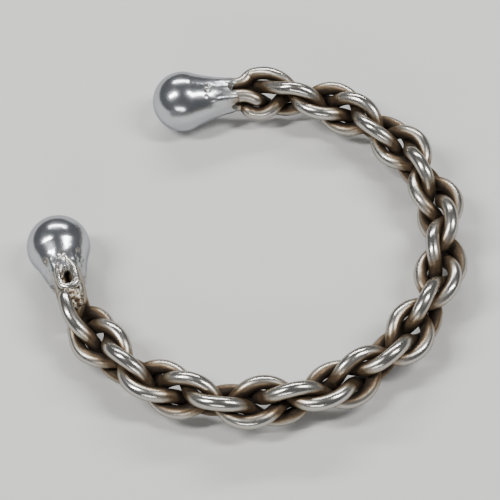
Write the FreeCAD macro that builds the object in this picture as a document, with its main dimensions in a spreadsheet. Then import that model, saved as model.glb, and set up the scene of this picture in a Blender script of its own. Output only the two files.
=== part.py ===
import FreeCAD, Part
import math
import os

# Open wrist cuff. Four round wires make two twisted cords, the cords are laid round each other
# the opposite way, and a ball terminal with a tapered neck closes each end.
# The ring lies flat, +Z is up, the mouth between the balls faces -Y. Millimetres and degrees.

doc = FreeCAD.newDocument("wire_cuff")
sheet = doc.addObject("Spreadsheet::Sheet", "Sizes")

SIZES = [
    ("wire_diameter", 2.4, "one drawn wire"),
    ("ring_radius", 32.2, "middle of the rope"),
    ("half_sweep", 131.0, "bent part of the rope, each side of +Y"),
    ("cord_spread", 0.875, "cord centre from rope axis, in wire diameters"),
    ("level_spread", 1.03, "the same where both cords crest together, near the ends"),
    ("bundle_spread", 0.53, "the same where the wires lie square in the necks"),
    ("twin_spread", 0.517, "wire centre from cord axis, in wire diameters"),
    ("lay_start", 2.5, "section angle of the first cord at the smooth end"),
    ("cord_turns", 4.75, "orbits of a cord round the rope"),
    ("twin_half_turns", 29.0, "half turns of the wires inside a cord"),
    ("twin_start", 1.5, "half turns held back, so that the wires enter the necks side by side"),
    ("cord_stagger", 0.25, "half turns that one cord's twist leads and the other's lags"),
    ("lay_ramp", 12.0, "sweep over which the lay fades out at each end"),
    ("neck_straight", 8.5, "straight run from the bend to a ball centre"),
    ("wire_end_gap", 4.6, "wire ends short of the ball centre"),
    ("ball_radius", 5.4, "both balls"),
    ("smooth_neck", 9.0, "ball centre to the mouth of the smooth neck"),
    ("smooth_taper", 17.3, "half angle of the smooth neck"),
    ("looped_neck", 7.6, "ball centre to the mouth of the looped neck"),
    ("looped_taper", 19.0, "half angle of the looped neck"),
    ("loop_wire", 1.3, "wire of the neck loop"),
    ("loop_width", 2.8, "between the centres of its legs"),
    ("loop_near", 4.8, "ball centre to the open ends of the legs"),
    ("loop_far", 9.4, "ball centre to the start of the bight"),
    ("loop_height", 3.15, "leg centres above the neck axis"),
    ("solder_reach", 13.4, "ball centre to the middle of the solder"),
    ("solder_height", 2.0, "middle of the solder above the rope axis"),
    ("solder_length", 0.8, "between the middles of its round ends"),
    ("solder_radius", 1.4, "its round ends"),
]
for row, (alias, value, note) in enumerate(SIZES, start=1):
    sheet.set("A%d" % row, alias)
    sheet.set("B%d" % row, str(value))
    sheet.set("C%d" % row, note)
    sheet.setAlias("B%d" % row, alias)
doc.recompute()


def size(alias):
    return float(sheet.get(alias))


Y = FreeCAD.Vector(0, 1, 0)
Z = FreeCAD.Vector(0, 0, 1)
WIRE = size("wire_diameter")
RING = size("ring_radius")
HALF_SWEEP = size("half_sweep")
SWEEP = 2 * HALF_SWEEP
STEPS_PER_HALF_TURN = 3
OPENING_RUN = 0.3  # half turns over which the cords move apart outside a neck
STAGGER_RUN = 1.5  # half turns over which one cord's crests settle between the other's
CENTRE_STEP = 0.02  # degrees of sweep for the direction of a cord
WIRE_STEP = 0.05  # degrees of sweep for the direction of a wire
STRAIGHT = 1e-6  # mm of bow below which a piece of wire counts as straight
PARALLEL = 1e-9


# ---- the path of one wire ----

def ring_frame(sweep):
    """Point on the rope axis and the outward direction, sweep degrees from the smooth end."""
    angle = math.radians(90 + HALF_SWEEP - sweep)
    outward = FreeCAD.Vector(math.cos(angle), math.sin(angle), 0)
    return outward * RING, outward


def eased(x):
    x = min(max(x, 0.0), 1.0)
    return x * x * (3 - 2 * x)


def laid(sweep):
    """Share of the whole lay reached, 0 to 1, with the twist fading out at both ends."""
    ramp = size("lay_ramp")

    def run_in(length):
        x = min(length / ramp, 1.0)
        return ramp * (x ** 3 - x ** 4 / 2) + max(length - ramp, 0.0)

    full = SWEEP - ramp
    if sweep < SWEEP / 2:
        return run_in(sweep) / full
    return 1 - run_in(SWEEP - sweep) / full


def cord_point(cord, sweep):
    """Centre of a cord, its radial direction in the section, and the twist of its wires."""
    share = laid(sweep)
    halves = size("twin_half_turns")
    from_end = min(share, 1 - share) * halves
    nested = eased(from_end / STAGGER_RUN)
    stagger = size("cord_stagger") * nested * (1 if cord else -1)
    twist = math.pi * (halves * share - size("twin_start") + stagger)
    angle = math.radians(size("lay_start") + 360 * size("cord_turns") * share) + math.pi * cord
    opening = eased(from_end / OPENING_RUN)
    free = size("cord_spread") + (size("level_spread") - size("cord_spread")) * (1 - nested ** 2)
    spread = WIRE * (size("bundle_spread") * (1 - opening) + free * opening)
    middle, outward = ring_frame(sweep)
    radial = outward * math.cos(angle) + Z * math.sin(angle)
    return middle + radial * spread, radial, twist


def wire_point(cord, twin, sweep):
    """Centre of one wire of a cord; its offset is square to the cord, not to the rope."""
    centre, radial, twist = cord_point(cord, sweep)
    before = cord_point(cord, max(sweep - CENTRE_STEP, 0.0))[0]
    after = cord_point(cord, min(sweep + CENTRE_STEP, SWEEP))[0]
    along = (after - before).normalize()
    radial = (radial - along * radial.dot(along)).normalize()
    across = along.cross(radial)
    phase = math.pi * twin - twist
    offset = radial * math.cos(phase) + across * math.sin(phase)
    return centre + offset * (WIRE * size("twin_spread"))


def wire_tangent(cord, twin, sweep):
    before = wire_point(cord, twin, max(sweep - WIRE_STEP, 0.0))
    after = wire_point(cord, twin, min(sweep + WIRE_STEP, SWEEP))
    return (after - before).normalize()


def end_direction(sweep):
    """Unit direction in which the rope leaves the ring at either end."""
    outward = ring_frame(sweep)[1]
    clockwise = outward.cross(Z)
    return clockwise * (-1 if sweep < SWEEP / 2 else 1)


def wire_stations(cord, twin):
    """Points and unit tangents down one wire, with a straight run into each neck."""
    count = int(STEPS_PER_HALF_TURN * size("twin_half_turns"))
    sweeps = [SWEEP * i / count for i in range(count + 1)]
    points = [wire_point(cord, twin, sweep) for sweep in sweeps]
    tangents = [wire_tangent(cord, twin, sweep) for sweep in sweeps]
    tangents[0] = end_direction(0.0) * -1
    tangents[-1] = end_direction(SWEEP)
    tail = size("neck_straight") - size("wire_end_gap")
    points.insert(0, points[0] - tangents[0] * tail)
    points.append(points[-1] + tangents[-1] * tail)
    tangents.insert(0, tangents[0])
    tangents.append(tangents[-1])
    return points, tangents


# ---- a round bar along tangent arcs ----

def biarc_joint(p0, t0, p1, t1):
    """Point and heading where two arcs meet that leave p0 along t0 and reach p1 along t1."""
    chord = p1 - p0
    lean = chord.dot(t0 + t1)
    bend = 2 * (1 - t0.dot(t1))
    if bend < PARALLEL:
        reach = chord.dot(chord) / (2 * lean)
    else:
        reach = (-lean + math.sqrt(lean * lean + bend * chord.dot(chord))) / bend
    near = p0 + t0 * reach
    far = p1 - t1 * reach
    return (near + far) * 0.5, (far - near).normalize()


def bar_piece(profile, start, tangent, end):
    """Wall swept from start to end on the arc tangent at start, the profile moved on, the length."""
    chord = end - start
    side = chord - tangent * chord.dot(tangent)
    moved = profile.copy()
    if side.Length < STRAIGHT:
        moved.translate(chord)
        return profile.extrude(chord), moved, chord.Length
    side.normalize()
    radius = chord.dot(chord) / (2 * chord.dot(side))
    centre = start + side * radius
    axis = tangent.cross(side)
    angle = 2 * math.asin(min(chord.Length / (2 * radius), 1.0))
    moved.rotate(centre, axis, math.degrees(angle))
    return profile.revolve(centre, axis, math.degrees(angle)), moved, radius * angle


def round_bar(points, tangents, diameter):
    """Closed solid of a round bar through the stations, and the length of its axis."""
    rim = Part.makeCircle(diameter / 2, points[0], tangents[0])
    walls = [Part.Face(Part.Wire(rim))]
    length = 0.0
    for i in range(len(points) - 1):
        joint, heading = biarc_joint(points[i], tangents[i], points[i + 1], tangents[i + 1])
        for start, tangent, end in ((points[i], tangents[i], joint), (joint, heading, points[i + 1])):
            wall, rim, run = bar_piece(rim, start, tangent, end)
            walls.append(wall)
            length += run
    walls.append(Part.Face(Part.Wire(rim)))
    shell = Part.makeShell(walls)
    shell.sewShape()
    solid = Part.makeSolid(shell)
    if solid.Volume < 0:
        solid.reverse()
    return solid, length


# ---- the four wires ----

def resting_offset(paths):
    """Moves the cuff so that the middle of its box is at the origin and its lowest point at 0."""
    points = [point for path in paths for point in path]
    ball = ball_centre(SWEEP)
    low_x = min(p.x for p in points) - WIRE / 2
    high_x = max(p.x for p in points) + WIRE / 2
    high_y = max(p.y for p in points) + WIRE / 2
    low_y = ball.y - size("ball_radius")
    return FreeCAD.Vector(-(low_x + high_x) / 2, -(low_y + high_y) / 2, size("ball_radius"))


def ball_centre(sweep):
    return ring_frame(sweep)[0] + end_direction(sweep) * size("neck_straight")


WIRE_NODES = {
    "cord_a_wire_1": (0, 0),
    "cord_a_wire_2": (0, 1),
    "cord_b_wire_1": (1, 0),
    "cord_b_wire_2": (1, 1),
}
BOX_STEPS = 4000
fine_paths = [
    [wire_point(cord, twin, SWEEP * i / BOX_STEPS) for i in range(BOX_STEPS + 1)]
    for cord, twin in WIRE_NODES.values()
]
SEAT = resting_offset(fine_paths)

wires = []
for label, (cord, twin) in WIRE_NODES.items():
    points, tangents = wire_stations(cord, twin)
    solid, length = round_bar(points, tangents, WIRE)
    wire = doc.addObject("Part::Feature", label)
    wire.Label = label
    wire.Shape = solid
    wire.Placement = FreeCAD.Placement(SEAT, FreeCAD.Rotation())
    wires.append(wire)
    section = math.pi * WIRE ** 2 / 4
    print(label, "length %.1f" % length, "volume %.1f" % solid.Volume, "expected %.1f" % (section * length))


# ---- terminals: a ball blending into a tapered neck, cut to receive the wires ----

def facing(sweep):
    """Placement with +Z running from the ball centre back down the neck and +X up."""
    down = end_direction(sweep) * -1
    turn = FreeCAD.Rotation(Z, Z.cross(down), down, "ZXY")
    return FreeCAD.Placement(ball_centre(sweep) + SEAT, turn)


def primitive(kind, name, at, cells):
    """Part primitive whose sizes follow the sheet."""
    item = doc.addObject(kind, name)
    item.Placement = at
    for key, cell in cells.items():
        item.setExpression(key, cell)
    return item


def terminal(label, sweep, neck, taper):
    at = facing(sweep)
    ball = primitive("Part::Sphere", label + "_ball", at, {"Radius": "Sizes.ball_radius"})
    lean = math.radians(size(taper))
    root = at.multiply(FreeCAD.Placement(Z * (size("ball_radius") * math.sin(lean)), FreeCAD.Rotation()))
    wide = "Sizes.ball_radius * cos(Sizes.%s * 1deg)" % taper
    run = "Sizes.%s - Sizes.ball_radius * sin(Sizes.%s * 1deg)" % (neck, taper)
    cone = primitive("Part::Cone", label + "_cone", root, {
        "Radius1": wide,
        "Radius2": "%s - (%s) * tan(Sizes.%s * 1deg)" % (wide, run, taper),
        "Height": run,
    })
    blank = doc.addObject("Part::MultiFuse", label + "_blank")
    blank.Shapes = [ball, cone]
    socket = doc.addObject("Part::Cut", label)
    socket.Label = label
    socket.Base = blank
    socket.Tool = all_wires
    return socket


all_wires = doc.addObject("Part::Compound", "all_wires")
all_wires.Links = wires
smooth = terminal("smooth_terminal", 0.0, "smooth_neck", "smooth_taper")
looped = terminal("looped_terminal", SWEEP, "looped_neck", "looped_taper")
doc.recompute()


# ---- loop and solder on the second neck ----

def loop_stations():
    """U-shaped path: out along one leg, round the bight and back, in the neck's own frame."""
    half = size("loop_width") / 2
    near = size("loop_near")
    far = size("loop_far")
    high = size("loop_height")
    points = [
        FreeCAD.Vector(high, -half, near),
        FreeCAD.Vector(high, -half, far),
        FreeCAD.Vector(high, 0, far + half),
        FreeCAD.Vector(high, half, far),
        FreeCAD.Vector(high, half, near),
    ]
    return points, [Z, Z, Y, Z * -1, Z * -1]


loop_bar = doc.addObject("Part::Feature", "loop_bar")
loop_bar.Shape = round_bar(*loop_stations(), size("loop_wire"))[0]
loop_bar.Placement = facing(SWEEP)
neck_loop = doc.addObject("Part::Cut", "neck_loop")
neck_loop.Label = "neck_loop"
neck_loop.Base = loop_bar
neck_loop.Tool = looped

reach = size("solder_reach") - size("neck_straight")
solder_sweep = SWEEP - math.degrees(reach / RING)
middle, outward = ring_frame(solder_sweep)
backward = outward.cross(Z) * -1
lump_at = FreeCAD.Placement(
    middle + SEAT + Z * size("solder_height"), FreeCAD.Rotation(backward, outward, Z, "ZXY"))
half = size("solder_length") / 2
back_end = FreeCAD.Placement(Z * -half, FreeCAD.Rotation())
front_end = FreeCAD.Placement(Z * half, FreeCAD.Rotation())
blob = doc.addObject("Part::MultiFuse", "solder_blob")
blob.Shapes = [
    primitive("Part::Cylinder", "solder_middle", lump_at.multiply(back_end), {
        "Radius": "Sizes.solder_radius", "Height": "Sizes.solder_length"}),
    primitive("Part::Sphere", "solder_near", lump_at.multiply(back_end), {
        "Radius": "Sizes.solder_radius"}),
    primitive("Part::Sphere", "solder_far", lump_at.multiply(front_end), {
        "Radius": "Sizes.solder_radius"}),
]
blob.Refine = True
solder = doc.addObject("Part::Cut", "solder_lump")
solder.Label = "solder_lump"
solder.Base = blob
solder.Tool = all_wires
doc.recompute()

# ---- checks and export ----

for item in doc.Objects:
    bad = [state for state in item.State if state in ("Invalid", "Error")]
    if bad:
        raise RuntimeError("%s is %s" % (item.Label, bad))
    if hasattr(item, "Shape") and (item.Shape.isNull() or not item.Shape.isValid()):
        raise RuntimeError("%s has no valid shape" % item.Label)

os.makedirs("parts", exist_ok=True)
for node in wires + [smooth, looped, neck_loop, solder]:
    node.Shape.exportStep("parts/%s.step" % node.Label)
    box = node.Shape.BoundBox
    print("%-16s solids %d  volume %8.2f  x %.2f..%.2f  y %.2f..%.2f  z %.2f..%.2f" % (
        node.Label, len(node.Shape.Solids), node.Shape.Volume,
        box.XMin, box.XMax, box.YMin, box.YMax, box.ZMin, box.ZMax,
    ))
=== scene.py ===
import math

import bpy
import numpy as np
from mathutils import Matrix, Vector, kdtree, noise


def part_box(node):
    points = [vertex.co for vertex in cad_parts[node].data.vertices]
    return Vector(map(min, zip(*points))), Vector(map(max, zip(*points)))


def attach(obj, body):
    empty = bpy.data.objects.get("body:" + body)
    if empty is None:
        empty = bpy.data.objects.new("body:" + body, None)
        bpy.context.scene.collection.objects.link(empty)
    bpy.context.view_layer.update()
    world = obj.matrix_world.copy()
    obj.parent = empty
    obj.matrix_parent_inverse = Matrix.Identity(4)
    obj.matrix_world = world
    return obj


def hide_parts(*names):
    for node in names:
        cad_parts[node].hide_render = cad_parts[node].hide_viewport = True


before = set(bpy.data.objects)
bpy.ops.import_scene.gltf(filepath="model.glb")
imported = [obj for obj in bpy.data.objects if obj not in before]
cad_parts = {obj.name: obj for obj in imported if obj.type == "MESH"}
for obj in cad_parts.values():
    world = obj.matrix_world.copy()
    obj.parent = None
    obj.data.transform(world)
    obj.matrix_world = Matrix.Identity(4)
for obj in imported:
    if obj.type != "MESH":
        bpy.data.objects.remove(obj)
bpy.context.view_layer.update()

MM = 0.001
ROOT = "root"
UP = np.array([0.0, 0.0, 1.0])


# ---- sizes of the cuff, in millimetres and degrees, the same as the CAD's ----

WIRE = 2.4
RING = 32.2
HALF_SWEEP = 131.0
SWEEP = 2 * HALF_SWEEP
CORD_SPREAD = 0.875        # the four spreads are in wire diameters, from axis to axis
LEVEL_SPREAD = 1.03        # a cord's, where the two cords' crests are level
BUNDLE_SPREAD = 0.53       # a cord's, where the wires enter the necks
TWIN_SPREAD = 0.517        # a wire's, from its cord
LAY_START = 2.5
CORD_TURNS = 4.75          # of the cords round the rope's axis
HALF_TURNS = 29.0          # of a cord's wires round each other
TWIN_START = 1.5           # half turns, as are the next three
CORD_STAGGER = 0.25
OPENING_RUN = 0.3
STAGGER_RUN = 1.5
LAY_RAMP = 12.0
NECK_STRAIGHT = 8.5        # from the ball's centre to where the ring begins
WIRE_END_GAP = 4.6         # from the ball's centre to the wires' ends
BALL = 5.4
SMOOTH_NECK, SMOOTH_TAPER = 9.0, 17.3
LOOPED_NECK, LOOPED_TAPER = 7.6, 19.0

# ---- how finely the meshes are divided ----

PATH_STATIONS = 1300
TAIL_STATIONS = 24
WIRE_SIDES = 26
NECK_SIDES = 144
BALL_STATIONS = 70
NECK_STATIONS = 60
LOOP_SIDES = 22
LEG_STATIONS = 26
BEND_STATIONS = 36
SOLDER_STATIONS = 56
SOLDER_SIDES = 72

WIRE_NODES = {
    "cord_a_wire_1": (0, 0),
    "cord_a_wire_2": (0, 1),
    "cord_b_wire_1": (1, 0),
    "cord_b_wire_2": (1, 1),
}

# ---- fractal noise ----

SEED_SHIFT = (17.3, 7.1, 3.7)      # how far one seed moves the noise, in its own units
FBM_SLOPE = 1.0
FBM_OCTAVE = 2.0                   # each octave's lumps are this much finer than the last's


# ---- small helpers ----

def unit(v):
    return v / np.linalg.norm(v, axis=-1, keepdims=True)


def eased(x):
    """0 below 0, 1 above 1, and a smooth step between."""
    x = np.clip(x, 0, 1)
    return x * x * (3 - 2 * x)


def angle_between(a, b):
    return (a - b + math.pi) % (2 * math.pi) - math.pi


def full_turn(count):
    return np.linspace(0, 2 * math.pi, count, endpoint=False)


def fbm(points, scale, seed, octaves):
    """Fractal noise, about -1 to 1, at points in mm. Scale is its largest lumps' size in mm."""
    shift = Vector([seed * step for step in SEED_SHIFT])
    return np.array([
        noise.fractal(Vector(point) / scale + shift, FBM_SLOPE, FBM_OCTAVE, octaves)
        for point in points
    ])


# ---- the ring and its two ends ----

def ring_frame(sweep):
    """Points on the ring's centre line, in mm about its centre, and the directions outward."""
    angle = np.radians(90 + HALF_SWEEP - sweep)
    outward = np.stack([np.cos(angle), np.sin(angle), 0 * angle], -1)
    return outward * RING, outward


def terminal_axes(sweep):
    """Ball centre about the ring centre, direction back down the neck, and outward, at one end."""
    middle, outward = ring_frame(np.array([float(sweep)]))
    clockwise = np.cross(outward[0], UP)
    along = clockwise * (-1 if sweep < HALF_SWEEP else 1)
    return middle[0] + along * NECK_STRAIGHT, -along, outward[0]


def seat():
    """Where the ring's centre lies in the frame, in mm, read from the smooth terminal's box."""
    low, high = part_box("smooth_terminal")
    ball = np.array([high[0] / MM - BALL, low[1] / MM + BALL, low[2] / MM + BALL])
    return ball - terminal_axes(0.0)[0]


# ---- the lay of the four wires ----

def laid(sweep):
    """Share of the whole lay reached at each sweep; the twist runs in and out over LAY_RAMP."""
    def run_in(length):
        x = np.clip(length / LAY_RAMP, 0, 1)
        return LAY_RAMP * (x ** 3 - x ** 4 / 2) + np.maximum(length - LAY_RAMP, 0)

    full = SWEEP - LAY_RAMP
    return np.where(sweep < HALF_SWEEP, run_in(sweep) / full, 1 - run_in(SWEEP - sweep) / full)


def cord_path(cord, sweep):
    """Centre line of one cord, its direction from the rope's axis, and the twist inside it."""
    share = laid(sweep)
    from_end = np.minimum(share, 1 - share) * HALF_TURNS
    nested = eased(from_end / STAGGER_RUN)
    stagger = CORD_STAGGER * nested * (1 if cord else -1)
    twist = math.pi * (HALF_TURNS * share - TWIN_START + stagger)
    angle = np.radians(LAY_START + 360 * CORD_TURNS * share) + math.pi * cord
    free = CORD_SPREAD + (LEVEL_SPREAD - CORD_SPREAD) * (1 - nested ** 2)
    opening = eased(from_end / OPENING_RUN)
    spread = WIRE * (BUNDLE_SPREAD * (1 - opening) + free * opening)
    middle, outward = ring_frame(sweep)
    radial = outward * np.cos(angle)[:, None] + UP * np.sin(angle)[:, None]
    return middle + radial * spread[:, None], radial, twist


def wire_path(cord, twin):
    """Centre line of one wire, with its straight runs into the necks, in mm."""
    sweep = np.linspace(0, SWEEP, PATH_STATIONS)
    centre, radial, twist = cord_path(cord, sweep)
    along = unit(np.gradient(centre, axis=0))
    radial = unit(radial - along * (radial * along).sum(1)[:, None])
    across = np.cross(along, radial)
    phase = (math.pi * twin - twist)[:, None]
    path = centre + (radial * np.cos(phase) + across * np.sin(phase)) * WIRE * TWIN_SPREAD
    run = NECK_STRAIGHT - WIRE_END_GAP
    tail = np.linspace(1, 1 / TAIL_STATIONS, TAIL_STATIONS)[:, None] * run
    head = path[0] - terminal_axes(0.0)[1] * tail
    foot = path[-1] - terminal_axes(SWEEP)[1] * tail[::-1]
    return np.concatenate([head, path, foot])


SEAT = seat()
PATHS = {name: wire_path(cord, twin) for name, (cord, twin) in WIRE_NODES.items()}


# ---- meshes ----

def grid_faces(rows, columns):
    """Quads of a tube of rings, and fans over both ends whose centres are the last two vertices."""
    faces = []
    for i in range(rows - 1):
        here, above = i * columns, (i + 1) * columns
        for j in range(columns):
            k = (j + 1) % columns
            faces.append((here + j, here + k, above + k, above + j))
    start = rows * columns
    last = (rows - 1) * columns
    for j in range(columns):
        k = (j + 1) % columns
        faces.append((start, k, j))
        faces.append((start + 1, last + j, last + k))
    return faces


def set_attribute(piece, name, values, caps):
    """One value a vertex, with those of the two cap centres last."""
    layer = piece.data.attributes.new(name, "FLOAT", "POINT")
    layer.data.foreach_set("value", np.concatenate([values, caps]).astype(np.float32))


def tube_frames(path):
    """Two side directions carried down a path without twisting."""
    tangent = unit(np.gradient(path, axis=0))
    side = np.zeros_like(path)
    side[0] = unit(np.cross(tangent[0], UP))
    for i in range(1, len(path)):
        side[i] = unit(side[i - 1] - tangent[i] * side[i - 1].dot(tangent[i]))
    return side, np.cross(tangent, side)


def tube_shell(path, sides):
    """Centres and outward normals for every vertex of a tube round a path."""
    side, other = tube_frames(path)
    turn = full_turn(sides)
    cosine, sine = np.cos(turn)[None, :, None], np.sin(turn)[None, :, None]
    normals = side[:, None] * cosine + other[:, None] * sine
    return np.repeat(path, sides, axis=0), normals.reshape(-1, 3)


def add_piece(name, verts, ends, sides, inside_out=False):
    """A closed tube of rings, given in mm about the ring's centre, as an object in the frame."""
    faces = grid_faces(len(verts) // sides, sides)
    if inside_out:
        faces = [tuple(reversed(face)) for face in faces]
    mesh = bpy.data.meshes.new(name)
    points = (np.concatenate([verts, ends]) + SEAT) * MM
    mesh.from_pydata([tuple(point) for point in points], [], faces)
    mesh.update()
    mesh.polygons.foreach_set("use_smooth", [True] * len(mesh.polygons))
    piece = bpy.data.objects.new(name, mesh)
    bpy.context.scene.collection.objects.link(piece)
    return piece


def declare(piece, node, slot):
    """Says what the piece rides on and stands for, and gives it its slot's finish."""
    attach(piece, ROOT)
    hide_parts(node)
    piece.data.materials.append(SILVERS[slot])


# ---- materials ----

# What tarnish does, by its amount from 0 to 1, and how uneven it is.
FILM_AT = 0.26                     # the first thin film, which dims the bright colour a little
FILM_TINT = (0.93, 0.91, 0.86)
TARNISH_COLOURS = [
    (0.46, (0.33, 0.275, 0.205)),
    (0.68, (0.120, 0.080, 0.047)),
    (1.00, (0.030, 0.021, 0.014)),
]
METALLIC_STOPS = [(0.0, 1.0), (0.55, 0.95), (1.0, 0.45)]
HALF_TARNISHED = 0.45
HALF_ROUGHER = 0.13
TARNISH_ROUGHNESS = 0.62
PATCH_MM, PATCH_AMOUNT = 3.2, 0.42
PATCH_STEP_MM = 0.1                # added to the patches' size for each seed
SPECK_MM, SPECK_AMOUNT = 0.35, 0.30
SMEAR_MM, SMEAR_AMOUNT = 1.4, 0.10
WEAR_POLISH = -0.05
SCRATCH_MM = 0.5
SCRATCH_STRETCH = (1.0, 6.0, 2.5)
SCRATCH_TURN = (0.3, 0.5, 0.4)     # radians, with SEED_TURN more for each seed
SEED_TURN = 0.3
DENT_HEIGHT = 0.6
TARNISH_HEIGHT = -0.25
BUMP_STRENGTH = 0.5
BUMP_DISTANCE = 0.04 * MM


def silver(name, bright, edge, roughness, dull, scratch, grain_mm, seed):
    """Old silver: bright where rubbed, yellow-brown to black where tarnish has settled, and darker
    where painted shade is added, as under the neck loop.
    """
    material = bpy.data.materials.new(name)
    material.use_nodes = True
    nodes = material.node_tree.nodes
    links = material.node_tree.links
    shader = nodes["Principled BSDF"]
    shader.inputs["Specular Tint"].default_value = (*edge, 1)
    place = nodes.new("ShaderNodeTexCoord").outputs["Object"]

    def maths(operation, a, b, clamp=False):
        item = nodes.new("ShaderNodeMath")
        item.operation = operation
        item.use_clamp = clamp
        for socket, value in zip(item.inputs, (a, b)):
            if hasattr(value, "links"):
                links.new(value, socket)
            else:
                socket.default_value = value
        return item.outputs[0]

    def ramp(source, stops):
        item = nodes.new("ShaderNodeValToRGB")
        item.color_ramp.interpolation = "EASE"
        while len(item.color_ramp.elements) < len(stops):
            item.color_ramp.elements.new(0.5)
        for element, (position, value) in zip(item.color_ramp.elements, stops):
            colour = value if isinstance(value, tuple) else (value,) * 3
            element.position = position
            element.color = (*colour, 1)
        links.new(source, item.inputs[0])
        return item.outputs[0]

    def speckle(size_mm, detail, rough=0.55, distortion=0.0, where=place):
        item = nodes.new("ShaderNodeTexNoise")
        item.inputs["Scale"].default_value = 1 / (size_mm * MM)
        item.inputs["Detail"].default_value = detail
        item.inputs["Roughness"].default_value = rough
        item.inputs["Distortion"].default_value = distortion
        links.new(where, item.inputs["Vector"])
        return item.outputs[0]

    def attribute(key):
        item = nodes.new("ShaderNodeAttribute")
        item.attribute_name = key
        return item.outputs["Fac"]

    def centred(source, amount):
        return maths("MULTIPLY", maths("SUBTRACT", source, 0.5), amount)

    patches = centred(speckle(PATCH_MM + PATCH_STEP_MM * seed, detail=4), PATCH_AMOUNT)
    specks = centred(speckle(SPECK_MM, detail=5, rough=0.65), SPECK_AMOUNT)
    uneven = maths("ADD", patches, specks)
    mask = maths("ADD", maths("ADD", attribute("tarnish_and_shade"), uneven), dull, clamp=True)

    film = tuple(c * f for c, f in zip(bright, FILM_TINT))
    colour = ramp(mask, [(0.0, bright), (FILM_AT, film)] + TARNISH_COLOURS)
    links.new(colour, shader.inputs["Base Color"])
    links.new(ramp(mask, METALLIC_STOPS), shader.inputs["Metallic"])

    rough = ramp(mask, [
        (0.0, roughness), (HALF_TARNISHED, roughness + HALF_ROUGHER), (1.0, TARNISH_ROUGHNESS),
    ])
    smeared = maths("ADD", rough, centred(speckle(SMEAR_MM, detail=3), SMEAR_AMOUNT))
    rubbed = maths("MULTIPLY", attribute("wear"), WEAR_POLISH)
    links.new(maths("ADD", smeared, rubbed, clamp=True), shader.inputs["Roughness"])

    stretch = nodes.new("ShaderNodeMapping")
    stretch.inputs["Scale"].default_value = SCRATCH_STRETCH
    first, second, third = SCRATCH_TURN
    stretch.inputs["Rotation"].default_value = (first, second, third + SEED_TURN * seed)
    links.new(place, stretch.inputs["Vector"])
    lines = speckle(SCRATCH_MM, detail=6, rough=0.7, distortion=0.4, where=stretch.outputs[0])
    dents = speckle(grain_mm, detail=3)
    relief = maths("ADD", maths("MULTIPLY", dents, DENT_HEIGHT),
                   maths("MULTIPLY", mask, TARNISH_HEIGHT))
    height = maths("ADD", maths("MULTIPLY", lines, scratch), relief)
    bump = nodes.new("ShaderNodeBump")
    bump.inputs["Strength"].default_value = BUMP_STRENGTH
    bump.inputs["Distance"].default_value = BUMP_DISTANCE
    links.new(height, bump.inputs["Height"])
    links.new(bump.outputs[0], shader.inputs["Normal"])
    return material


WARM_EDGE = (0.62, 0.58, 0.53)
LOOKS = {
    "aged_silver_wire": {
        "bright": (0.50, 0.48, 0.45), "edge": (0.55, 0.51, 0.46),
        "roughness": 0.22, "dull": 0.11, "scratch": 0.28, "grain_mm": 0.8, "seed": 1,
    },
    "polished_silver": {
        "bright": (0.49, 0.50, 0.52), "edge": (0.62, 0.63, 0.66),
        "roughness": 0.25, "dull": -0.03, "scratch": 0.16, "grain_mm": 2.0, "seed": 2,
    },
    "worn_silver": {
        "bright": (0.55, 0.535, 0.50), "edge": WARM_EDGE,
        "roughness": 0.25, "dull": 0.06, "scratch": 0.35, "grain_mm": 0.5, "seed": 3,
    },
    "silver_solder": {
        "bright": (0.58, 0.56, 0.51), "edge": WARM_EDGE,
        "roughness": 0.32, "dull": 0.08, "scratch": 0.5, "grain_mm": 0.18, "seed": 4,
    },
}
SILVERS = {slot: silver(slot, **look) for slot, look in LOOKS.items()}


# ---- the four wires ----

# The crests are the outermost faces of the rope: rubbed a little flat, and bright.
CREST_FROM, CREST_RISE = 3.4, 1.0  # mm from the rope's axis
CREST_FACING = 0.5
CREST_FLAT = 0.040
WOBBLE_MM, WOBBLE_DEPTH = 3.0, 0.012
DIMPLE_MM, DIMPLE_DEPTH, DIMPLE_SEED = 0.9, 0.006, 5
# Tarnish settles near the rope's axis, where a neighbour is close, and on faces turned inward,
# and each of the three adds the same share.
HOLLOW_FROM, HOLLOW_RISE = 1.5, 2.6
TOUCH_GAP = 1.15
TURNED_SPAN, TURNED_SHIFT = 1.15, 0.15
SETTLED_SHARE, SETTLED_OFFSET = 0.50, 0.05
TAIL_SWEEP = 30                    # degrees past the looped end still counted as on the ring


def rope_radial(points):
    """Distance from the rope's axis and direction away from it, for points about its centre."""
    flat = points * np.array([1, 1, 0])
    angle = np.degrees(np.arctan2(points[:, 1], points[:, 0]))
    sweep = np.mod(90 + HALF_SWEEP - angle, 360)
    in_mouth = sweep > SWEEP + TAIL_SWEEP
    middle = np.where(in_mouth[:, None], flat, unit(flat) * RING)
    away = points - middle
    distance = np.linalg.norm(away, axis=1)
    return distance, away / np.maximum(distance, 1e-6)[:, None]


def gap_to_others(name, surface):
    """Distance from each surface point to the nearest other wire, in mm."""
    others = [path for other, path in PATHS.items() if other != name]
    tree = kdtree.KDTree(sum(len(path) for path in others))
    for index, point in enumerate(np.concatenate(others)):
        tree.insert(point, index)
    tree.balance()
    return np.array([tree.find(point)[2] for point in surface]) - WIRE / 2


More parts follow.
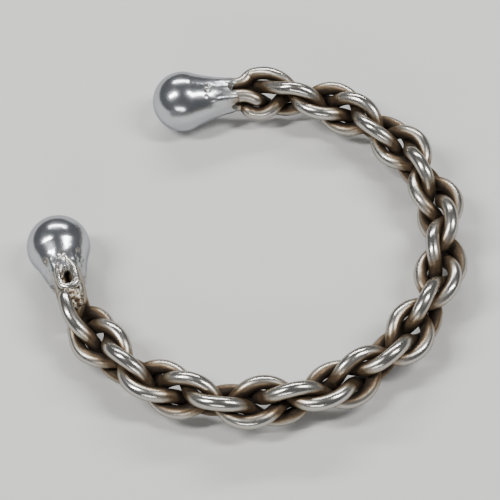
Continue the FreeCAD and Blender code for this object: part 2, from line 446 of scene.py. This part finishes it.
def make_wire(name, seed):
    path = PATHS[name]
    centres, normals = tube_shell(path, WIRE_SIDES)
    surface = centres + normals * WIRE / 2
    distance, away = rope_radial(surface)
    facing = (normals * away).sum(1)
    turned_out = eased((facing - CREST_FACING) / (1 - CREST_FACING))
    crest = eased((distance - CREST_FROM) / CREST_RISE) * turned_out
    wobble = fbm(surface, WOBBLE_MM, seed, octaves=2)
    dimple = fbm(surface, DIMPLE_MM, seed + DIMPLE_SEED, octaves=2)
    radius = WIRE / 2 - CREST_FLAT * crest + WOBBLE_DEPTH * wobble + DIMPLE_DEPTH * dimple
    verts = centres + normals * radius[:, None]
    piece = add_piece(name + "_silver", verts, path[[0, -1]], WIRE_SIDES)

    hollow = 1 - eased((distance - HOLLOW_FROM) / HOLLOW_RISE)
    touching = 1 - eased(gap_to_others(name, surface) / TOUCH_GAP)
    turned_in = 1 - eased((facing + TURNED_SHIFT) / TURNED_SPAN)
    settled = SETTLED_SHARE * hollow + SETTLED_SHARE * touching + SETTLED_SHARE * turned_in
    set_attribute(piece, "tarnish_and_shade", np.clip(settled - SETTLED_OFFSET, 0, 1), [1, 1])
    set_attribute(piece, "wear", crest, [0, 0])
    declare(piece, name, "aged_silver_wire")


# ---- the two terminals ----

POLE_START = 0.012                 # radians from the ball's pole to its first ring
NECK_HOLLOW = 0.22                 # how far the neck's side curves in, in mm
HOLLOW_FADE = 0.4                  # share of that lost towards the mouth
LEAST_OUTLINE = 0.3                # of a wire's diameter, where no wire is
FILM_THICK, FILM_RISE = 0.012, 0.07
BLEND_POWER = 14                   # joins the cone to the film over the wires
RIM_FROM = 0.9                     # share of the neck where its rim begins
RIM_CONE = 0.78
MELT_REACH = 0.9                   # how far the rim runs down on to the wires, in mm
MELT_FROM, MELT_RISE = 1.9, 0.8    # outline radii over which it does
RAGGED = ((3, 0.22, 1), (7, 0.14, 2))     # waves round the rim, their mm, their shift a seed
CLOSING_RINGS = ((0.965, 0.06), (0.90, 0.07), (0.7, -0.05), (0.35, -0.3))     # shrink, mm on
CAP_DEPTH = 0.4
LUMP_MM, GRAIN_MM = 1.6, 0.5
GRAIN_SHARE, GRAIN_SEED = 0.35, 3
BALL_LUMPS = 0.012
NECK_SKIN_FROM, NECK_SKIN_RISE = 3.2, 3.0
RIM_TARNISH_BACK, RIM_TARNISH_SPAN = 1.6, 2.6
NECK_TARNISH, NECK_TARNISH_LEAST, NECK_TARNISH_LUMPS = 0.5, 0.6, 1.2
PIT_TARNISH, PIT_TARNISH_WIDE = 0.5, 2.0
PIT_RADIUS = 0.8 * BALL            # about where the neck's surface is, at the pits
WEAR_LUMPS = 0.2

# Ridges: degrees round the neck, mm along it where one starts and is full, height, width.
# Pits: mm along the neck, degrees round it, radius, depth.
TERMINALS = [
    {
        "name": "smooth_terminal", "sweep": 0.0, "mouth": SMOOTH_NECK, "taper": SMOOTH_TAPER,
        "ridges": [(136, 4.4, 6.4, 0.42, 0.75)],
        "pits": [(4.5, 108, 0.34, 0.30), (4.9, 96, 0.22, 0.22), (4.2, 124, 0.20, 0.14)],
        "roughness": 0.030, "rim": 0.30, "seed": 11,
    },
    {
        "name": "looped_terminal", "sweep": SWEEP, "mouth": LOOPED_NECK, "taper": LOOPED_TAPER,
        "ridges": [(62, 3.2, 5.6, 0.30, 0.7), (118, 3.2, 5.6, 0.30, 0.7),
                   (90, 4.2, 6.6, 0.55, 0.8)],
        "pits": [(4.6, 90, 0.5, 0.25), (3.9, 134, 0.35, 0.16), (5.4, 150, 0.3, 0.18),
                 (4.4, 48, 0.4, 0.18)],
        "roughness": 0.10, "rim": 0.32, "seed": 12,
    },
]


def bundle_outline(sweep, angle):
    """Radius, round the neck's axis, of the outline of the four wires where they enter it."""
    centre, _, outward = terminal_axes(sweep)
    entry = TAIL_STATIONS if sweep < HALF_SWEEP else -TAIL_STATIONS - 1
    best = np.full_like(angle, LEAST_OUTLINE * WIRE)
    for path in PATHS.values():
        offset = path[entry] - centre
        y, z = offset.dot(outward), offset[2]
        rho = math.hypot(y, z)
        turned = angle - math.atan2(z, y)
        across = rho * np.sin(turned)
        reach = rho * np.cos(turned) + np.sqrt(np.maximum((WIRE / 2) ** 2 - across ** 2, 0))
        best = np.where((np.abs(across) < WIRE / 2) & (reach > best), reach, best)
    return best


def terminal_rings(sweep, mouth, taper, ridges, pits, seed):
    """Rings down the ball and its neck, each with its mm from the ball's centre and its radii."""
    turn = full_turn(NECK_SIDES)
    outline = bundle_outline(sweep, turn)
    lean = math.radians(taper)
    shoulder = BALL * math.sin(lean)
    ragged = sum(high * np.sin(waves * turn + step * seed) for waves, high, step in RAGGED)
    melt = eased((outline - MELT_FROM) / MELT_RISE)
    rings = [
        (np.full(NECK_SIDES, -BALL * math.cos(t)), np.full(NECK_SIDES, BALL * math.sin(t)))
        for t in np.linspace(POLE_START, math.pi / 2 + lean, BALL_STATIONS)
    ]
    for u in np.linspace(0, 1, NECK_STATIONS)[1:]:
        x = (mouth - shoulder) * u
        at = shoulder + x + u ** 3 * (MELT_REACH * melt + ragged)
        hollow = NECK_HOLLOW * math.sin(math.pi * u) * (1 - HOLLOW_FADE * u)
        cone = BALL * math.cos(lean) - x * math.tan(lean) - hollow
        film = outline + FILM_RISE * (1 - u) + FILM_THICK
        joined = (cone ** BLEND_POWER + film ** BLEND_POWER) ** (1 / BLEND_POWER)
        rim = eased((u - RIM_FROM) / (1 - RIM_FROM))
        rings.append((at, joined * (1 - rim) + np.maximum(film, cone * RIM_CONE) * rim))

    marked = []
    for at, r in rings:
        for angle, start, full, height, width in ridges:
            offset = angle_between(turn, math.radians(angle)) * r
            r = r + height * eased((at - start) / (full - start)) * np.exp(-(offset / width) ** 2)
        for pit_at, angle, size, depth in pits:
            offset = angle_between(turn, math.radians(angle)) * r
            r = r - depth * np.exp(-((offset / size) ** 2 + ((at - pit_at) / size) ** 2))
        marked.append((at, r))
    at, r = marked[-1]
    return marked + [(at + step, r * shrink) for shrink, step in CLOSING_RINGS]


def make_terminal(name, sweep, mouth, taper, ridges, pits, roughness, rim, seed):
    """Ball running into a tapered neck whose rim melts on to the wires."""
    centre, down, outward = terminal_axes(sweep)
    turn = full_turn(NECK_SIDES)
    rings = terminal_rings(sweep, mouth, taper, ridges, pits, seed)
    verts = np.concatenate([
        centre + down * at[:, None]
        + outward * (r * np.cos(turn))[:, None] + UP * (r * np.sin(turn))[:, None]
        for at, r in rings
    ])
    along = np.concatenate([at for at, _ in rings])
    offset = verts - centre
    spread = unit(offset - (offset @ down)[:, None] * down + 1e-9)
    lumps = fbm(verts, LUMP_MM, seed, octaves=3)
    fine = fbm(verts, GRAIN_MM, seed + GRAIN_SEED, octaves=2)
    near_mouth = eased((along - NECK_SKIN_FROM) / NECK_SKIN_RISE)
    skin = (BALL_LUMPS + roughness * near_mouth) * lumps
    skin = skin + GRAIN_SHARE * roughness * near_mouth * fine
    verts = verts + spread * skin[:, None]
    caps = np.array([centre - down * BALL, centre + down * (mouth - CAP_DEPTH)])
    piece = add_piece(name + "_cast", verts, caps, NECK_SIDES, inside_out=sweep > HALF_SWEEP)

    at_rim = eased((along - (mouth - RIM_TARNISH_BACK)) / RIM_TARNISH_SPAN)
    uneven = NECK_TARNISH_LEAST + NECK_TARNISH_LUMPS * lumps
    tarnish_and_shade = rim * (at_rim + NECK_TARNISH * near_mouth * uneven)
    for pit_at, angle, size, _ in pits:
        angle = math.radians(angle)
        ray = outward * math.cos(angle) + UP * math.sin(angle)
        reach = np.linalg.norm(verts - (centre + down * pit_at + ray * PIT_RADIUS), axis=1)
        tarnish_and_shade = tarnish_and_shade + PIT_TARNISH * np.exp(-(reach / (size * PIT_TARNISH_WIDE)) ** 2)
    wear = 1 - near_mouth - WEAR_LUMPS * np.abs(lumps)
    set_attribute(piece, "tarnish_and_shade", np.clip(tarnish_and_shade, 0, 1), [0, 1])
    set_attribute(piece, "wear", np.clip(wear, 0, 1), [1, 0])
    declare(piece, name, "polished_silver")


# ---- loop and solder on the second neck, in mm ----

LOOP_HALF = 1.4                    # half its width at the bend, between centre lines
LOOP_NEAR, LOOP_FAR = 4.9, 9.4     # from the ball's centre to the legs' ends and the bend
LOOP_CLOSED = 0.42                 # share of the width left where the legs end
LOOP_OPENING = 2.8
LOOP_HEIGHT, LOOP_DIP = 3.22, 0.12
DIP_FROM, DIP_RUN = 8.0, 3.0
LOOP_RADIUS = 0.65
LEG_UNEVEN = 0.11                  # the inner leg is thicker and the outer one thinner
LOOP_BEAD, BEAD_SPAN = 0.05, 0.9   # a thickening at the tip of the bend
LOOP_LUMPS, LOOP_LUMP_MM, LOOP_SEED = 0.06, 0.9, 31
LUMP_RADIUS = 0.6                  # where the lumps' noise is read, round the centre line
# The loop's darkening: an even share of tarnish, painted shade on the faces turned down, and random
# lumps of tarnish.
LOOP_TARNISH, LOOP_UNDERSIDE_SHADE, LOOP_UNEVEN = 0.15, 0.6, 0.25
SHADE_SHIFT, SHADE_SPAN = 0.2, 0.8
SOLDER_REACH = 12.9                # from the ball's centre, round the ring
SOLDER_HALF = (2.1, 1.9, 1.2)      # along the ring, outward and up
SOLDER_OUT, SOLDER_UP = 0.45, 2.6
SOLDER_POLE = 0.03                 # radians from its two poles to its first rings
SOLDER_TIP = 0.01
SOLDER_SQUASH = (1.0, 1.0, 0.8)    # steepens the directions its grains stand in
SOLDER_LUMPS, SOLDER_LUMP_MM, SOLDER_LUMP_SEED = 0.16, 0.85, 41
SOLDER_GRAIN, SOLDER_GRAIN_MM, SOLDER_GRAIN_SEED = 0.09, 0.30, 43
SOLDER_TARNISH, SOLDER_LUMP_BRIGHT, SOLDER_GRAIN_BRIGHT = 0.42, 0.7, 0.5


def make_loop():
    centre, down, outward = terminal_axes(SWEEP)
    legs = np.linspace(LOOP_NEAR, LOOP_FAR, LEG_STATIONS)
    bend = np.linspace(-math.pi / 2, math.pi / 2, BEND_STATIONS)[1:-1]
    flat = [(x, -LOOP_HALF) for x in legs]
    flat += [(LOOP_FAR + LOOP_HALF * math.cos(t), LOOP_HALF * math.sin(t)) for t in bend]
    flat += [(x, LOOP_HALF) for x in legs[::-1]]
    flat = np.array(flat)
    opened = eased((flat[:, 0] - LOOP_NEAR) / LOOP_OPENING)
    flat[:, 1] *= LOOP_CLOSED + (1 - LOOP_CLOSED) * opened
    high = LOOP_HEIGHT - LOOP_DIP * eased((flat[:, 0] - DIP_FROM) / DIP_RUN)
    path = centre + down * flat[:, :1] + outward * flat[:, 1:] + UP * high[:, None]
    centres, normals = tube_shell(path, LOOP_SIDES)
    from_tip = flat[:, 0] - LOOP_FAR - LOOP_HALF
    bead = np.repeat(np.exp(-(from_tip / BEAD_SPAN) ** 2), LOOP_SIDES)
    leg = np.repeat(np.clip(-flat[:, 1] / LOOP_HALF, -1, 1), LOOP_SIDES)
    lumps = fbm(centres + normals * LUMP_RADIUS, LOOP_LUMP_MM, LOOP_SEED, octaves=3)
    radius = LOOP_RADIUS + LEG_UNEVEN * leg + LOOP_BEAD * bead + LOOP_LUMPS * lumps
    verts = centres + normals * radius[:, None]
    piece = add_piece("neck_loop_wire", verts, path[[0, -1]], LOOP_SIDES)
    # Painted shade: faces turned downward are darkened as if shadowed, on top of the loop's real
    # tarnish.
    painted_shade = eased((-normals[:, 2] + SHADE_SHIFT) / SHADE_SPAN)
    tarnish_and_shade = LOOP_TARNISH + LOOP_UNDERSIDE_SHADE * painted_shade + LOOP_UNEVEN * lumps
    set_attribute(piece, "tarnish_and_shade", np.clip(tarnish_and_shade, 0, 1), [1, 1])
    set_attribute(piece, "wear", eased(normals[:, 2]), [0, 0])
    declare(piece, "neck_loop", "worn_silver")


def make_solder():
    """A grainy lump lying on the wires just past the looped neck."""
    sweep = SWEEP - math.degrees((SOLDER_REACH - NECK_STRAIGHT) / RING)
    middle, outward = (rows[0] for rows in ring_frame(np.array([sweep])))
    backward = -np.cross(outward, UP)
    length, width, height = SOLDER_HALF
    turn = full_turn(SOLDER_SIDES)
    verts = np.concatenate([
        backward * math.cos(t) * length
        + outward * (math.sin(t) * np.cos(turn) * width)[:, None]
        + UP * (math.sin(t) * np.sin(turn) * height)[:, None]
        for t in np.linspace(SOLDER_POLE, math.pi - SOLDER_POLE, SOLDER_STATIONS)
    ])
    normal = unit(verts / np.array(SOLDER_SQUASH))
    lumps = fbm(verts, SOLDER_LUMP_MM, SOLDER_LUMP_SEED, octaves=3)
    grain = fbm(verts, SOLDER_GRAIN_MM, SOLDER_GRAIN_SEED, octaves=2)
    verts = verts * (1 + SOLDER_LUMPS * lumps[:, None]) + normal * (SOLDER_GRAIN * grain[:, None])
    place = middle + UP * SOLDER_UP + outward * SOLDER_OUT
    tip = backward * (length - SOLDER_TIP)
    piece = add_piece("solder_lump_grains", verts + place, np.array([tip, -tip]) + place,
                      SOLDER_SIDES)
    tarnish_and_shade = SOLDER_TARNISH - SOLDER_LUMP_BRIGHT * lumps - SOLDER_GRAIN_BRIGHT * grain
    set_attribute(piece, "tarnish_and_shade", np.clip(tarnish_and_shade, 0, 1), [1, 1])
    set_attribute(piece, "wear", np.clip(grain, 0, 1), [0, 0])
    declare(piece, "solder_lump", "silver_solder")


for wire_seed, wire_name in enumerate(WIRE_NODES, start=1):
    make_wire(wire_name, wire_seed)
for terminal in TERMINALS:
    make_terminal(**terminal)
make_loop()
make_solder()


# ---- floor, light and camera, in metres ----

FLOOR_HALF = 1.6
FLOOR_COLOUR = (0.60, 0.595, 0.58)
FLOOR_ROUGHNESS = 0.75
VIEW_AZIMUTH = math.radians(36.7)
VIEW_ELEVATION = math.radians(54.6)
VIEW_ROLL = math.radians(4.2)
VIEW_DISTANCE = 0.3147
VIEW_LENS = 133.2
VIEW_SENSOR = 36
VIEW_SHIFT = (-0.0073, -0.0214)
VIEW_CLIP = 0.01
# Each softbox's place (to the camera's right, towards it, up), width, length and watts.
SOFTBOXES = {
    "left_box": ((-0.42, 0.05, 0.62), 0.09, 0.34, 4.6),
    "right_box": ((0.42, 0.05, 0.62), 0.09, 0.34, 3.8),
    "far_box": ((0.0, -0.55, 0.50), 0.60, 0.07, 3.6),
    "near_box": ((-0.15, 0.70, 0.30), 0.45, 0.06, 1.5),
}
SKY_COLOUR = (0.62, 0.64, 0.67)
SKY_STRENGTH = 0.26

TARGET = Vector(SEAT * MM)
RIGHT = Vector((-math.sin(VIEW_AZIMUTH), math.cos(VIEW_AZIMUTH), 0))
TOWARDS = Vector((math.cos(VIEW_AZIMUTH), math.sin(VIEW_AZIMUTH), 0))
UPRIGHT = Vector((0, 0, 1))


def make_floor():
    mesh = bpy.data.meshes.new("floor")
    half = FLOOR_HALF
    corners = [(-half, -half, 0), (half, -half, 0), (half, half, 0), (-half, half, 0)]
    mesh.from_pydata(corners, [], [(0, 1, 2, 3)])
    floor = bpy.data.objects.new("floor", mesh)
    bpy.context.scene.collection.objects.link(floor)
    material = bpy.data.materials.new("pale_floor")
    material.use_nodes = True
    shader = material.node_tree.nodes["Principled BSDF"]
    shader.inputs["Base Color"].default_value = (*FLOOR_COLOUR, 1)
    shader.inputs["Roughness"].default_value = FLOOR_ROUGHNESS
    mesh.materials.append(material)


def make_camera():
    level = math.cos(VIEW_ELEVATION)
    back = Vector((
        level * math.cos(VIEW_AZIMUTH),
        level * math.sin(VIEW_AZIMUTH),
        math.sin(VIEW_ELEVATION),
    ))
    up = back.cross(RIGHT)
    rolled_right = RIGHT * math.cos(VIEW_ROLL) - up * math.sin(VIEW_ROLL)
    rolled_up = RIGHT * math.sin(VIEW_ROLL) + up * math.cos(VIEW_ROLL)
    data = bpy.data.cameras.new("camera")
    data.sensor_width = VIEW_SENSOR
    data.lens = VIEW_LENS
    data.clip_start = VIEW_CLIP
    data.shift_x, data.shift_y = VIEW_SHIFT
    camera = bpy.data.objects.new("camera", data)
    rotation = Matrix((rolled_right, rolled_up, back)).transposed().to_4x4()
    camera.matrix_world = Matrix.Translation(TARGET + back * VIEW_DISTANCE) @ rotation
    bpy.context.scene.collection.objects.link(camera)
    bpy.context.scene.camera = camera


def make_softbox(name, place, width, length, power):
    """Rectangular soft light aimed at the cuff."""
    data = bpy.data.lights.new(name, "AREA")
    data.shape = "RECTANGLE"
    data.size = width
    data.size_y = length
    data.energy = power
    light = bpy.data.objects.new(name, data)
    sideways, towards, high = place
    light.location = RIGHT * sideways + TOWARDS * towards + UPRIGHT * high
    light.rotation_euler = (TARGET - light.location).to_track_quat("-Z", "Y").to_euler()
    bpy.context.scene.collection.objects.link(light)


def make_sky():
    world = bpy.data.worlds.new("studio")
    world.use_nodes = True
    shade = world.node_tree.nodes["Background"]
    shade.inputs["Color"].default_value = (*SKY_COLOUR, 1)
    shade.inputs["Strength"].default_value = SKY_STRENGTH
    bpy.context.scene.world = world


make_floor()
make_camera()
for box_name, box in SOFTBOXES.items():
    make_softbox(box_name, *box)
make_sky()
